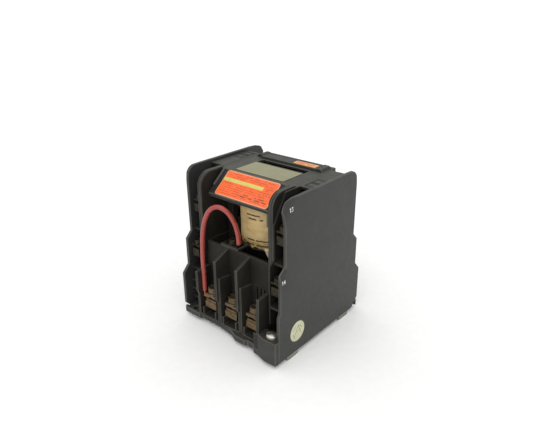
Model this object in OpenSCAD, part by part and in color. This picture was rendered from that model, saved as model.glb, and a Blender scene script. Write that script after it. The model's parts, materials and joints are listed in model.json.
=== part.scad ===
// Three-pole magnetic contactor with an auxiliary contact block on each side.
// It stands on its mounting face with its front upwards: +Z points out of the mounting face,
// -Y is the line side and +X is to the right. The whole device is the same after half a turn about Z,
// apart from its labels, its sticker and its jumper lead.

/* [Body] */
// Width over the two auxiliary covers
body_w = 86; // [85:0.5:90]
// Depth over the two tall lugs
base_d = 95; // [94:0.5:98]
// Height from the feet to the top of the covers
body_h = 103; // [102.6:0.1:105]
// Height of the feet under the base
foot_h = 2.5; // [2:0.1:3]
// Thickness of the base floor
floor_t = 4; // [3:0.1:4]
// Distance between two poles
pole_pitch = 18; // [18:0.1:18.4]

/* [Walls] */
// Thickness of the contact housing's walls and of the barriers
wall_t = 2; // [1.6:0.1:2]
// Thickness of the inner cheeks
cheek_t = 2; // [1.6:0.1:2]
// Thickness of the auxiliary covers
cover_t = 2; // [1.6:0.1:2.4]
// Thickness of shelves and thin plates
sheet_t = 1.5; // [1.2:0.1:1.6]

/* [Magnet and contacts] */
// Travel of the contact carrier
travel = 6; // [4:0.5:6]
// Share of the travel that the contact springs take up
overtravel = 1.5; // [1:0.1:1.5]
// Radius over the paper that wraps the coil
coil_r = 19.5; // [18.8:0.1:19.5]
// Width of one main contact bridge
bridge_w = 8; // [7:0.1:8]

/* [Terminals] */
// Radius of a main terminal screw's head
screw_head_r = 3.6; // [3:0.1:3.6]
// Radius of the free mounting holes
mount_hole_r = 2.2; // [2:0.05:2.25]
// Diameter of the jumper lead
lead_d = 3; // [2.6:0.1:3]

/* [Hidden] */

smooth = 48;
half_w = body_w / 2;
half_d = base_d / 2;
poles = [-pole_pitch, 0, pole_pitch];

// Heights, from the feet up
base_z = foot_h;
floor_z = base_z + floor_t;
lug_z = 18;
strip_z = 18;
partition_z = 41.5;
housing_z = 57;
top_z = body_h - 2;
cheek_z = body_h - 1;

// Places across the body
housing_x = 1.5 * pole_pitch + wall_t / 2;
cheek_x = housing_x + cheek_t;
aux_x = half_w - cover_t;
wall_y = 31;
floor_y = 42.8;
hole_x = 34.5;
hole_y = 37.3;

// Base
lug_inner_y = 38;
lug_step_y = 44;
lug_screw_x = 36.2;
lug_screw_y = 42;
lug_screw_r = 2;
lug_head_r = 3.7;
lug_head_h = 2.6;
thin_lug_y = 38.4;
spring_boss_r = 1.9;
spring_boss_h = 3;

// Barriers
barrier_lo_y = 41.2;
barrier_y = 43;
barrier_step_z = 23;
tier_z = 40;
tall_z = 52;
end_barrier_y = [44.3, 45.2];
rib_t = 1;
rib_x = 5.5;

// Main contacts: strip, tips and clamp
strip_t = 1.6;
strip_w = 9;
strip_y = 39;
strip_inner_y = 10;
tip_r = 3;
tip_y = 14;
tip_h = 1.45;
clamp_y = 36;
clamp_w = 10;
clamp_d = 7;
clamp_h = 4.5;
saddle_gap = 2;
saddle_t = 1.8;
washer_t = 1;
washer_r = 4.2;
head_h = 3.8;
shank_r = 1.9;
saddle_z = strip_z + strip_t + saddle_gap;
washer_z = saddle_z + saddle_t;
head_z = washer_z + washer_t;

// Moving contacts
contact_gap = travel - overtravel;
bridge_t = 1.6;
bridge_tip_h = 1.4;
bridge_l = 34;
touch = 0.05;
bridge_z = strip_z + strip_t + tip_h + touch + contact_gap + bridge_tip_h;
beam_z = bridge_z + bridge_t + 5.4;
beam_h = 5;
beam_y = 5;
stirrup_x = 6;
stirrup_t = 1.5;
return_spring_x = pole_pitch / 2;
spring_r = 2.4;
contact_wire_r = 0.35;
contact_turns = 4;
return_wire_r = 0.4;
return_turns = 9;

// Magnet
core_x = 25.5;
core_y = 9;
core_z = 45.5;
yoke_h = 8;
leg_x = coil_r + 0.7;
centre_leg_x = 6;
core_top_z = 68;
armature_z = core_top_z + travel;
armature_yoke_z = 90.5;
armature_yoke_h = 7;
pin_r = 1.5;
pin_hole_r = 1.55;
pin_z = 94;

// Carrier
post_x = 20;
post_w = 5;
post_y = 9.75;
post_d = 4;
end_plate_x = 25.7;
end_plate_t = 1.2;
end_plate_z = 89;
tongue_z = 90.5;
tongue_h = 3;
tongue_x = 33.5;
tongue_y = 3;

// Coil
bobbin_z = 54;
flange_t = 1.5;
bobbin_top_z = 84;
wrap_z = 59.5;
winding_r = coil_r - 1.3;
collar_r = coil_r - 0.6;
tube_x = 7.5;
tube_y = 10.5;
tube_t = 1.2;
tab_x = [-15, -0.5];
tab_y = [-31, -19.8];
coil_plate_t = 1;
coil_screw = [-7.5, -27];

// Top cap: the flat top and the slanted label face
cap_x = housing_x - 0.2;
cap_front_y = -14.5;
slope_y = -29;
slope_z = 89;
cap_back_y = 30;
label_x = 20.8;
slope_x = 25.5;
label_t = 0.4;
plate_x = 19;
plate_y = [-11.5, 7.5];
plate_t = 1;
pocket_t = 0.8;
slot_x = 19;
slot_y = [9, 14.5];
rail_x = 22;
rail_y = [16, 26];
rail_h = 1.6;

// Auxiliary block, drawn for the right side: a is its line end and b its load end
aux_screw_x = 36;
aux_strip_w = 6;
aux_strip_t = 0.8;
aux_tip_h = 0.8;
aux_tip_r = 1.6;
aux_low_z = 48;
aux_high_z = 78;
aux_a_low = -36;
aux_a_high = -31;
aux_b_low = 30.5;
aux_b_high = 26.5;
aux_inner_y = 9;
aux_tip_y = 11;
slider_x = [32, 40];
slider_y = 4.7;
slider_z = [40, 96];
guide_t = 1.4;
guide_gap = 0.3;
aux_bridge_w = 4;
aux_bridge_y = 13;
aux_no_z = aux_low_z + aux_strip_t + aux_tip_h + touch + travel + aux_tip_h;
aux_nc_z = aux_high_z - aux_tip_h - touch - aux_tip_h - aux_strip_t;
sticker_r = 6.7;
sticker_t = 0.2;
sticker_at = [-26.8, 16.6];

// Jumper lead: its route from the coil terminal, over the arch and down to the first line terminal
lead_route = [
    [-2.6, -27.6, 60.2], [-2.6, -27.6, 64], [-2.9, -28.2, 68.5], [-3.6, -29, 73], [-4.6, -30.2, 77],
    [-6, -31.6, 80.5], [-8, -33, 83], [-11, -34.4, 84.4], [-14.4, -35.6, 83.8], [-17.4, -36.6, 81.2],
    [-19.8, -37.3, 77], [-21.6, -37.7, 72], [-22.8, -37.9, 66.5], [-23.6, -38, 61], [-24, -38, 55.5],
    [-24.3, -38, 50], [-24.4, -38, 44.5], [-24.4, -38, 39], [-24.4, -38, 33.5], [-24.4, -38, 28.5],
    [-24.4, -38, 24.4]
];
lead_sides = 8;
lead_end_r = 0.7;

// ---------------------------------------------------------------- helpers

// A box between two opposite corners
module box_between(lo, hi) {
    translate(lo) cube(hi - lo);
}

// The children, and the children again after half a turn about Z
module both_ends() {
    children();
    rotate([0, 0, 180]) children();
}

// The children, and the children mirrored to the other side of x = 0
module both_sides() {
    children();
    mirror([1, 0, 0]) children();
}

// The children, and the children mirrored to the other side of y = 0
module front_and_back() {
    children();
    mirror([0, 1, 0]) children();
}

// An outline given as [y, z] points, as a plate that starts at x and is t thick
module side_plate(x, t, outline) {
    translate([x, 0, 0]) rotate([90, 0, 90]) linear_extrude(t) polygon(outline);
}

// Points of a quarter round with its centre at c, from angle a0 to angle a1
function arc(c, r, a0, a1, steps = 8) =
    [for (i = [0:steps]) let (a = a0 + (a1 - a0) * i / steps) [c[0] + r * cos(a), c[1] + r * sin(a)]];

// A screw that stands on its head's underside at z = 0, slotted, with its shank below
module screw(head_r, head_t, r, length) {
    slot_w = 0.9;
    slot_t = 1.2;
    difference() {
        cylinder(r = head_r, h = head_t, $fn = smooth);
        translate([-head_r - 1, -slot_w / 2, head_t - slot_t]) cube([2 * head_r + 2, slot_w, slot_t + 1]);
    }
    translate([0, 0, -length]) cylinder(r = r, h = length, $fn = smooth);
}

function unit(v) = v / norm(v);

// The rings of a round tube that follows a path, each ring square to the path
function tube_points(path, r, sides) =
    let (last = len(path) - 1)
    [for (i = [0:last])
        let (
            along = unit(path[min(i + 1, last)] - path[max(i - 1, 0)]),
            side = unit(cross(along, abs(along[2]) > 0.9 ? [0, 1, 0] : [0, 0, 1])),
            up = cross(side, along)
        )
        for (k = [0:sides - 1])
            path[i] + r * (cos(360 * k / sides) * side + sin(360 * k / sides) * up)];

function tube_faces(rings, sides) = concat(
    [[for (k = [sides - 1:-1:0]) k]],
    [for (i = [0:rings - 2]) for (k = [0:sides - 1])
        let (a = i * sides + k, b = i * sides + (k + 1) % sides)
        [a, b, b + sides, a + sides]],
    [[for (k = [0:sides - 1]) (rings - 1) * sides + k]]
);

module tube(path, r, sides) {
    polyhedron(points = tube_points(path, r, sides), faces = tube_faces(len(path), sides), convexity = 6);
}

// A helical spring with its axis on Z, from z = 0 to z = h over the outside of its wire
module spring(r, wire_r, h, turns) {
    steps = 12;
    sides = 6;
    rings = turns * steps + 1;
    points = [for (i = [0:rings - 1])
        let (
            out = [cos(360 * i / steps), sin(360 * i / steps), 0],
            rise = wire_r + (h - 2 * wire_r) * i / (rings - 1)
        )
        for (k = [0:sides - 1])
            r * out + [0, 0, rise] + wire_r * (cos(360 * k / sides) * out + [0, 0, sin(360 * k / sides)])];
    polyhedron(points = points, faces = tube_faces(rings, sides), convexity = 20);
}

// ---------------------------------------------------------------- base

// Plan of the base at its line end, from the thin lug on the left to the tall lug on the right
function base_edge() = [
    [-aux_x, -thin_lug_y], [-half_w, -thin_lug_y], [-half_w, -39.6], [-41.6, -41], [-28.4, -41],
    [-26, -39.5], [-12, -39.5], [2, -41.5], [7, -44], [15, -44], [17, -floor_y], [22, -43.2],
    [24, -45.4], [housing_x, -45.8], [34, -half_d], [half_w, -half_d], [half_w, -lug_step_y],
    [aux_x, -lug_step_y]
];

// Tall lug at the right end of the line side
module tall_lug() {
    translate([0, 0, base_z]) linear_extrude(lug_z - base_z) polygon([
        [housing_x, -lug_inner_y], [housing_x, -45.8], [34, -half_d], [half_w, -half_d],
        [half_w, -lug_step_y], [aux_x, -lug_step_y], [aux_x, -lug_inner_y]
    ]);
}

module base_plate() {
    color("dimgray") difference() {
        union() {
            translate([0, 0, base_z]) linear_extrude(floor_t)
                polygon(concat(base_edge(), [for (p = base_edge()) -p]));
            both_ends() tall_lug();
            both_sides() translate([return_spring_x, 0, floor_z])
                cylinder(r = spring_boss_r, h = spring_boss_h, $fn = smooth);
        }
        both_ends() {
            translate([-hole_x, -hole_y, base_z - 1])
                cylinder(r = mount_hole_r, h = floor_t + 2, $fn = smooth);
            translate([lug_screw_x, -lug_screw_y, base_z - 1])
                cylinder(r = lug_screw_r, h = lug_z, $fn = smooth);
        }
    }
}

module base_feet() {
    foot_l = 10;
    foot_w = 9;
    color("lightgray") both_ends() for (y = [-31, 24])
        box_between([half_w - foot_w, y - foot_l / 2, 0], [half_w, y + foot_l / 2, base_z]);
}

module lug_screws() {
    color("silver") both_ends()
        translate([lug_screw_x, -lug_screw_y, lug_z])
            screw(lug_head_r, lug_head_h, lug_screw_r, lug_z - base_z - 1);
}

// ---------------------------------------------------------------- contact housing

module contact_housing() {
    window_w = strip_w + 0.2;
    window_t = strip_t + 0.2;
    vent_w = 1.2;
    vent_z = [28, 38];
    vent_pitch = 3;
    guide_y = 7.5;
    inner_x = housing_x - wall_t;
    inner_y = wall_y - wall_t;
    color("#2b2a27") difference() {
        union() {
            both_sides() box_between([inner_x, -wall_y, floor_z], [housing_x, wall_y, housing_z]);
            front_and_back() box_between([-housing_x, inner_y, floor_z], [housing_x, wall_y, housing_z]);
            both_sides() front_and_back()
                box_between([return_spring_x - wall_t / 2, guide_y, floor_z],
                            [return_spring_x + wall_t / 2, inner_y, partition_z]);
        }
        for (x = poles) {
            box_between([x - window_w / 2, -wall_y - 1, strip_z - 0.1],
                        [x + window_w / 2, wall_y + 1, strip_z + window_t - 0.1]);
            for (dx = [-vent_pitch, 0, vent_pitch])
                box_between([x + dx - vent_w / 2, -wall_y - 1, vent_z[0]],
                            [x + dx + vent_w / 2, wall_y + 1, vent_z[1]]);
        }
    }
}

module partition_plate() {
    gap = 0.5;
    inner_x = housing_x - wall_t;
    inner_y = wall_y - wall_t;
    color("#3a3833") difference() {
        box_between([-inner_x, -inner_y, partition_z], [inner_x, inner_y, partition_z + wall_t]);
        both_sides() front_and_back()
            box_between([post_x - gap, post_y - gap, partition_z - 1],
                        [post_x + post_w + gap, post_y + post_d + gap, partition_z + wall_t + 1]);
    }
}

// Outline of one barrier, from the housing wall out to its front edge
function barrier_outline(top_front, top_back, front_y) = [
    [-wall_y, floor_z], [-barrier_lo_y, floor_z], [-barrier_lo_y, barrier_step_z],
    [-front_y, barrier_step_z + 1.2], [-front_y, top_front], [-wall_y, top_back]
];

// The barrier at the right end has no step, and its foot is wider
module end_barrier() {
    foot_w = 4;
    foot_y = 43.5;
    side_plate(housing_x - wall_t, wall_t, [
        [-wall_y, floor_z], [-end_barrier_y[1], floor_z], [-end_barrier_y[0], tier_z], [-wall_y, tier_z + 1.2]
    ]);
    box_between([housing_x - foot_w, -end_barrier_y[1], floor_z], [housing_x, -foot_y, lug_z - 1]);
}

module barrier_row() {
    tier_t = 1.1;
    fall = 1.2;
    side_plate(-housing_x, wall_t, barrier_outline(tier_z - fall, tier_z, barrier_y - 0.8));
    end_barrier();
    for (x = [-return_spring_x, return_spring_x]) {
        side_plate(x - wall_t / 2, wall_t, barrier_outline(tall_z, housing_z, barrier_y));
        side_plate(x + wall_t / 2, tier_t, [[-wall_y, floor_z], [-barrier_lo_y, floor_z],
            [-barrier_lo_y, tier_z], [-wall_y, tier_z - fall]]);
    }
    for (x = poles) for (s = [-1, 1])
        box_between([x + s * rib_x - rib_t / 2, -barrier_lo_y, floor_z],
                    [x + s * rib_x + rib_t / 2, -wall_y, strip_z - clamp_h - 0.2]);
    box_between([-housing_x, -barrier_lo_y, floor_z], [housing_x, -wall_y, floor_z + 1.2]);
}

module line_barriers() {
    color("#34322e") barrier_row();
}

module load_barriers() {
    color("#34322e") rotate([0, 0, 180]) barrier_row();
}

// ---------------------------------------------------------------- cheeks and top

// Right cheek: a flat wall with a chamfered foot and a wide round corner at its line end,
// where its rim stands above the cap's top
module cheek() {
    front_y = -34;
    back_y = 31;
    foot_z = 34;
    foot_chamfer = [1.5, 4];
    front_r = 9;
    back_r = 8;
    rim_y = [-15, -12];
    outline = concat(
        [[front_y + foot_chamfer[0], foot_z], [back_y, foot_z]],
        arc([back_y - back_r, top_z - back_r], back_r, 0, 90),
        [[rim_y[1], top_z], [rim_y[0], cheek_z]],
        arc([front_y + front_r, cheek_z - front_r], front_r, 90, 180),
        [[front_y, foot_z + foot_chamfer[1]]]
    );
    difference() {
        side_plate(housing_x, cheek_t, outline);
        tongue_slot(housing_x, cheek_x);
    }
}

// The slot that the carrier's tongue moves in, through a wall between two x places
module tongue_slot(x0, x1) {
    gap = 0.5;
    room = 1;
    box_between([x0 - 1, -tongue_y - gap, tongue_z - travel - room],
                [x1 + 1, tongue_y + gap, tongue_z + tongue_h + room]);
}

module right_cheek() {
    color("#403e39") cheek();
}

module left_cheek() {
    color("#403e39") mirror([1, 0, 0]) cheek();
}

// The cap's section: flat top, narrower slanted label face with a short lip below it,
// and an apron down from its back edge
module top_cap() {
    lip = 2;
    lap = 0.6;
    outline = [
        [cap_back_y, top_z], [cap_front_y, top_z], [slope_y, slope_z], [slope_y, slope_z - lip],
        [slope_y + sheet_t, slope_z - lip], [slope_y + sheet_t, slope_z - lap],
        [cap_front_y + lap, top_z - sheet_t], [cap_back_y - sheet_t, top_z - sheet_t],
        [cap_back_y - sheet_t, slope_z - lip], [cap_back_y, slope_z - lip]
    ];
    color("#5d5c55") difference() {
        side_plate(-cap_x, 2 * cap_x, outline);
        box_between([-plate_x, plate_y[0], top_z - pocket_t], [plate_x, plate_y[1], top_z + 1]);
        box_between([-slot_x, slot_y[0], top_z - sheet_t - 1], [slot_x, slot_y[1], top_z + 1]);
        both_sides() box_between([slope_x, slope_y - 1, slope_z - lip - 1],
                                 [cap_x + 1, cap_front_y, top_z + 1]);
    }
}

// The rating label lies on the slanted face
module rating_label() {
    tilt = atan2(top_z - slope_z, cap_front_y - slope_y);
    run = norm([top_z - slope_z, cap_front_y - slope_y]);
    edge = 0.5;
    corner_r = 1.2;
    corner_steps = 4;
    color("#ff7a40") translate([0, slope_y, slope_z]) rotate([tilt, 0, 0])
        linear_extrude(label_t) polygon(concat(
            arc([label_x - corner_r, run - edge - corner_r], corner_r, 0, 90, corner_steps),
            arc([-label_x + corner_r, run - edge - corner_r], corner_r, 90, 180, corner_steps),
            arc([-label_x + corner_r, edge + corner_r], corner_r, 180, 270, corner_steps),
            arc([label_x - corner_r, edge + corner_r], corner_r, 270, 360, corner_steps)
        ));
}

module marker_plate() {
    gap = 0.2;
    color("#94926f") box_between([-plate_x + gap, plate_y[0] + gap, top_z - pocket_t],
                                 [plate_x - gap, plate_y[1] - gap, top_z - pocket_t + plate_t]);
}

module rear_rail() {
    groove_y = 24;
    groove_w = 1;
    groove_t = 0.6;
    color("#6a6960") difference() {
        box_between([-rail_x, rail_y[0], top_z], [rail_x, rail_y[1], top_z + rail_h]);
        box_between([-rail_x - 1, groove_y, top_z + rail_h - groove_t],
                    [rail_x + 1, groove_y + groove_w, top_z + rail_h + 1]);
    }
}

module rail_label() {
    label_w = [4, rail_x - 1];
    label_y = rail_y[0] + 0.8;
    label_d = 5.2;
    color("#ee9b60") box_between([label_w[0], label_y, top_z + rail_h],
                                 [label_w[1], label_y + label_d, top_z + rail_h + 0.25]);
}

// Clips that hold the rail's two ends, sloped towards the outside
module rail_clip(depth, top_x) {
    color("#34322e") translate([0, rail_y[1], 0]) rotate([90, 0, 0]) linear_extrude(depth)
        polygon([[rail_x, top_z], [rail_x, body_h], [rail_x + top_x, body_h], [cap_x, top_z]]);
}

module left_rail_clip() {
    mirror([1, 0, 0]) rail_clip(rail_y[1] - rail_y[0] - 2, 3);
}

module right_rail_clip() {
    rail_clip(rail_y[1] - rail_y[0], 3.5);
}

// ---------------------------------------------------------------- magnet and coil

// E-shaped half of the magnet: its yoke between two heights, and its legs between two heights
module e_core(yoke, legs, centre_leg) {
    box_between([-core_x, -core_y, yoke[0]], [core_x, core_y, yoke[1]]);
    both_sides() box_between([leg_x, -core_y, legs[0]], [core_x, core_y, legs[1]]);
    box_between([-centre_leg_x, -core_y, centre_leg[0]], [centre_leg_x, core_y, centre_leg[1]]);
}

// Groove for the shading ring in the pole face of each outer leg
module ring_shape(clear) {
    ring_w = 3.4;
    ring_l = 12;
    ring_h = 2;
    bar = 1;
    both_sides() translate([(leg_x + core_x) / 2, 0, core_top_z - ring_h / 2]) difference() {
        cube([ring_w + 2 * clear, ring_l + 2 * clear, ring_h + 2 * clear], center = true);
        cube([ring_w - 2 * bar - 2 * clear, ring_l - 2 * bar - 2 * clear, ring_h + 1], center = true);
    }
}

module fixed_core() {
    air_gap = 0.3;
    yoke_top = core_z + yoke_h;
    color("slategray") difference() {
        e_core([core_z, yoke_top], [yoke_top, core_top_z], [yoke_top, core_top_z - air_gap]);
        ring_shape(0.05);
    }
}

module shading_rings() {
    color("#b87333") ring_shape(0);
}

module core_cushion() {
    color("#222222") box_between([-core_x, -core_y, partition_z + wall_t], [core_x, core_y, core_z]);
}

module armature() {
    legs = [armature_z, armature_yoke_z];
    color("slategray") difference() {
        e_core([armature_yoke_z, armature_yoke_z + armature_yoke_h], legs, legs);
        translate([-core_x - 1, 0, pin_z]) rotate([0, 90, 0])
            cylinder(r = pin_hole_r, h = 2 * core_x + 2, $fn = smooth);
    }
}

module armature_pin() {
    pin_x = end_plate_x + end_plate_t;
    color("silver") translate([-pin_x, 0, pin_z]) rotate([0, 90, 0])
        cylinder(r = pin_r, h = 2 * pin_x, $fn = smooth);
}

module coil_bobbin() {
    top_r = coil_r + 0.3;
    foot_r = 18.2;
    riser_x = [-12.5, -7.5];
    riser_y = [-21.4, -19.8];
    root_y = -15;
    module terminal_tab() {
        box_between([riser_x[0], riser_y[0], bobbin_z], [riser_x[1], root_y, bobbin_z + flange_t]);
        box_between([riser_x[0], riser_y[0], bobbin_z], [riser_x[1], riser_y[1], housing_z + sheet_t]);
        box_between([tab_x[0], tab_y[0], housing_z], [tab_x[1], tab_y[1], housing_z + sheet_t]);
    }
    color("#2e2c28") difference() {
        union() {
            translate([0, 0, bobbin_z]) cylinder(r = foot_r, h = flange_t, $fn = 2 * smooth);
            translate([0, 0, bobbin_top_z - flange_t]) cylinder(r = top_r, h = flange_t, $fn = 2 * smooth);
            box_between([-tube_x, -tube_y, bobbin_z], [tube_x, tube_y, bobbin_top_z]);
            both_ends() terminal_tab();
        }
        box_between([-tube_x + tube_t, -tube_y + tube_t, bobbin_z - 1],
                    [tube_x - tube_t, tube_y - tube_t, bobbin_top_z + 1]);
    }
}

// A round shell between two heights, around the coil's axis
module round_shell(outer_r, inner_r, z0, z1) {
    translate([0, 0, z0]) difference() {
        cylinder(r = outer_r, h = z1 - z0, $fn = 2 * smooth);
        translate([0, 0, -1]) cylinder(r = inner_r, h = z1 - z0 + 2, $fn = 2 * smooth);
    }
}

module coil_winding() {
    z0 = bobbin_z + flange_t;
    z1 = bobbin_top_z - flange_t;
    color("#7a3b1c") difference() {
        translate([0, 0, z0]) cylinder(r = winding_r, h = z1 - z0, $fn = 2 * smooth);
        box_between([-tube_x, -tube_y, z0 - 1], [tube_x, tube_y, z1 + 1]);
    }
}

module coil_wrap() {
    color("#aa9160") round_shell(coil_r, winding_r, wrap_z, bobbin_top_z - flange_t);
}

module coil_collar() {
    color("#b59a5f") round_shell(collar_r, winding_r, bobbin_z + flange_t, wrap_z);
}

// Terminal plates of the coil, on the bobbin's two tabs
module coil_terminals() {
    plate_z = housing_z + sheet_t;
    hole_r = 1.6;
    edge = [1, 0.5];
    plate_d = 7;
    color("#8b8268") both_ends() difference() {
        box_between([tab_x[0] + edge[0], tab_y[0] + edge[1], plate_z],
                    [tab_x[1] - edge[0], tab_y[0] + edge[1] + plate_d, plate_z + coil_plate_t]);
        translate([coil_screw[0], coil_screw[1], plate_z - 1])
            cylinder(r = hole_r, h = coil_plate_t + 2, $fn = smooth);
    }
}

module coil_terminal_screws() {
    washer_h = 0.6;
    washer_r = 3.2;
    coil_head = [2.7, 2.2];
    coil_shank_r = 1.5;
    color("#a8a18a") both_ends()
        translate([coil_screw[0], coil_screw[1], housing_z + sheet_t + coil_plate_t]) {
            difference() {
                cylinder(r = washer_r, h = washer_h, $fn = smooth);
                translate([0, 0, -1]) cylinder(r = coil_shank_r, h = washer_h + 1, $fn = smooth);
            }
            translate([0, 0, washer_h])
                screw(coil_head[0], coil_head[1], coil_shank_r, washer_h + coil_plate_t);
        }
}

// ---------------------------------------------------------------- main contacts

// One fixed contact of the line side: strip, silver tip and threaded block
module fixed_contact(x) {
    color("#8a6d4a") difference() {
        union() {
            box_between([x - strip_w / 2, -strip_y, strip_z],
                        [x + strip_w / 2, -strip_inner_y, strip_z + strip_t]);
            translate([x, -tip_y, strip_z + strip_t]) cylinder(r = tip_r, h = tip_h, $fn = smooth);
            box_between([x - clamp_w / 2, -clamp_y - clamp_d / 2, strip_z - clamp_h],
                        [x + clamp_w / 2, -clamp_y + clamp_d / 2, strip_z]);
        }
        translate([x, -clamp_y, strip_z - clamp_h - 1])
            cylinder(r = shank_r, h = clamp_h + strip_t + 2, $fn = smooth);
    }
}

module line_contact(i) {
    fixed_contact(poles[i]);
}

module load_contact(i) {
    rotate([0, 0, 180]) fixed_contact(-poles[i]);
}

module at_terminals() {
    both_ends() for (x = poles) translate([x, -clamp_y, 0]) children();
}

// Saddle washers that press on the wires, with their two long edges turned down
module terminal_saddles() {
    turn_down = 0.5;
    edge_t = 1;
    color("#7d6a50") at_terminals() difference() {
        union() {
            box_between([-clamp_w / 2, -clamp_d / 2, saddle_z], [clamp_w / 2, clamp_d / 2, washer_z]);
            both_sides() translate([(clamp_d - edge_t) / 2, 0, saddle_z - turn_down / 2])
                cube([edge_t, clamp_d, turn_down], center = true);
        }
        translate([0, 0, saddle_z - 1])
            cylinder(r = shank_r + 0.2, h = saddle_t + 2, $fn = smooth);
    }
}

module terminal_washers() {
    color("#a59e86") at_terminals() translate([0, 0, washer_z]) difference() {
        cylinder(r = washer_r, h = washer_t, $fn = smooth);
        translate([0, 0, -1]) cylinder(r = shank_r + 0.1, h = washer_t + 2, $fn = smooth);
    }
}

module terminal_screws() {
    color("#8d8672") at_terminals() translate([0, 0, head_z])
        screw(screw_head_r, head_h, shank_r, head_z - strip_z + clamp_h - 0.5);
}

// ---------------------------------------------------------------- carrier and bridges

// Crossbar over the contacts, a post at each corner, the plates that hold the armature pin,
// and a tongue on each side that moves the auxiliary slider
module contact_carrier() {
    top_t = 1.5;
    frame_x = end_plate_x + end_plate_t;
    frame_y = post_y + post_d;
    yoke_top = armature_yoke_z + armature_yoke_h;
    stirrup_top = bridge_z - touch;
    color("#1f1e1c") difference() {
        union() {
            box_between([-frame_x, -frame_y, yoke_top], [frame_x, frame_y, yoke_top + top_t]);
            both_sides() {
                box_between([end_plate_x, -frame_y, end_plate_z], [frame_x, frame_y, yoke_top]);
                box_between([end_plate_x, -tongue_y, tongue_z], [tongue_x, tongue_y, tongue_z + tongue_h]);
                front_and_back() box_between([post_x, post_y, beam_z], [post_x + post_w, frame_y, yoke_top]);
                box_between([post_x, -frame_y, beam_z], [post_x + post_w, frame_y, beam_z + beam_h]);
            }
            box_between([-post_x, -beam_y, beam_z], [post_x, beam_y, beam_z + beam_h]);
            for (x = poles) translate([x, 0, 0]) {
                both_sides() box_between([stirrup_x - stirrup_t, -beam_y / 2, stirrup_top - stirrup_t],
                                         [stirrup_x, beam_y / 2, beam_z]);
                box_between([-stirrup_x, -beam_y / 2, stirrup_top - stirrup_t],
                            [stirrup_x, beam_y / 2, stirrup_top]);
            }
        }
        translate([-frame_x - 1, 0, pin_z]) rotate([0, 90, 0])
            cylinder(r = pin_hole_r, h = 2 * frame_x + 2, $fn = smooth);
    }
}

module bridge(i) {
    color("#a8743f") translate([poles[i], 0, bridge_z]) {
        box_between([-bridge_w / 2, -bridge_l / 2, 0], [bridge_w / 2, bridge_l / 2, bridge_t]);
        for (s = [-1, 1]) translate([0, s * tip_y, -bridge_tip_h])
            cylinder(r = tip_r, h = bridge_tip_h, $fn = smooth);
    }
}

module contact_spring(i) {
    spring_z = bridge_z + bridge_t + touch;
    color("gainsboro") translate([poles[i], 0, spring_z])
        spring(spring_r, contact_wire_r, beam_z - spring_z - touch, contact_turns);
}

module return_spring(s) {
    spring_z = floor_z + touch;
    color("gainsboro") translate([s * return_spring_x, 0, spring_z])
        spring(spring_r, return_wire_r, beam_z - spring_z - touch, return_turns);
}

// ---------------------------------------------------------------- auxiliary blocks

// Outline of the covers: two steps on each long edge, wider towards the base
function cover_outline() = concat(
    [[-lug_step_y, base_z], [-lug_step_y, 33.5], [-42.4, 36.5], [-42.4, 60], [-38, 63.5], [-38.2, 88],
     [-40.2, 97.2], [-37.4, 101.6], [-32, body_h]],
    [[21, body_h]], arc([24.4, 96], 7, 80, 22, 5), [[31.4, 94]],
    [[31.2, 59.5], [35.5, 55], [35.5, 36.8], [40.3, 31.5], [40.3, 9], [34, base_z]]
);

module cover() {
    difference() {
        side_plate(aux_x, cover_t, cover_outline());
        children();
    }
}

module right_aux_cover() {
    color("#464644") cover()
        translate([half_w - sticker_t, sticker_at[0], sticker_at[1]]) rotate([0, 90, 0])
            cylinder(r = sticker_r + 0.1, h = 1, $fn = smooth);
}

module left_aux_cover() {
    color("#3c3b38") rotate([0, 0, 180]) side_plate(aux_x, cover_t, cover_outline());
}

module round_sticker() {
    color("#c8c8a5") translate([half_w - sticker_t, sticker_at[0], sticker_at[1]]) rotate([0, 90, 0])
        cylinder(r = sticker_r, h = sticker_t, $fn = smooth);
}

// Moulded body of an auxiliary block, open towards both terminal sides. The deck on its top
// reaches from deck_y[0] to deck_y[1].
module aux_body(deck_y) {
    inner_t = 1.2;
    x0 = cheek_x;
    x1 = cheek_x + inner_t;
    guide_y = slider_y + guide_gap;
    foot_z = 20;
    lower_z = 33;
    upper_z = 60;
    lower_y = [-38, 33];
    upper_y = [-34, 29];
    top_y = 24;
    wall = [
        [upper_y[0], foot_z], [lower_y[0], foot_z + 2], [lower_y[0], upper_z], [upper_y[0], upper_z + 3],
        [upper_y[0], 84], [-top_y, top_z], [top_y, top_z], [upper_y[1], top_z - 5],
        [upper_y[1], upper_z - 1], [lower_y[1], upper_z - 5], [lower_y[1], foot_z]
    ];
    difference() {
        union() {
            side_plate(x0, inner_t, wall);
            box_between([x1, deck_y[0], top_z - sheet_t], [aux_x, deck_y[1], top_z]);
            for (shelf = [[upper_y, upper_z], [lower_y, lower_z]]) {
                box_between([x1, shelf[0][0], shelf[1]], [aux_x, -guide_y, shelf[1] + sheet_t]);
                box_between([x1, guide_y, shelf[1]], [aux_x, shelf[0][1], shelf[1] + sheet_t]);
            }
            front_and_back() for (z = [[lower_z + sheet_t, 45], [83, top_z - sheet_t]])
                box_between([x1, guide_y, z[0]], [aux_x, guide_y + guide_t, z[1]]);
            for (y = [-top_y, 20])
                box_between([x1, y, upper_z + sheet_t], [x1 + rib_t, y + sheet_t, top_z - 12]);
            aux_hood(x0, x1, lower_z);
        }
        tongue_slot(x0, x1);
    }
}

// The hood over the lowest entries at the load end: a back wall, a side wall and three shelves
module aux_hood(x0, x1, top) {
    hood_y = [23, 34.5];
    hood_z = 12;
    back_t = 1;
    shelf_t = 1.2;
    box_between([x0, hood_y[0], hood_z], [x1, hood_y[1], top]);
    box_between([x1, hood_y[0], hood_z], [aux_x, hood_y[0] + back_t, top]);
    for (z = [hood_z, 18, 24.5])
        box_between([x0, hood_y[0], z], [aux_x, hood_y[1], z + shelf_t]);
}

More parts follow.
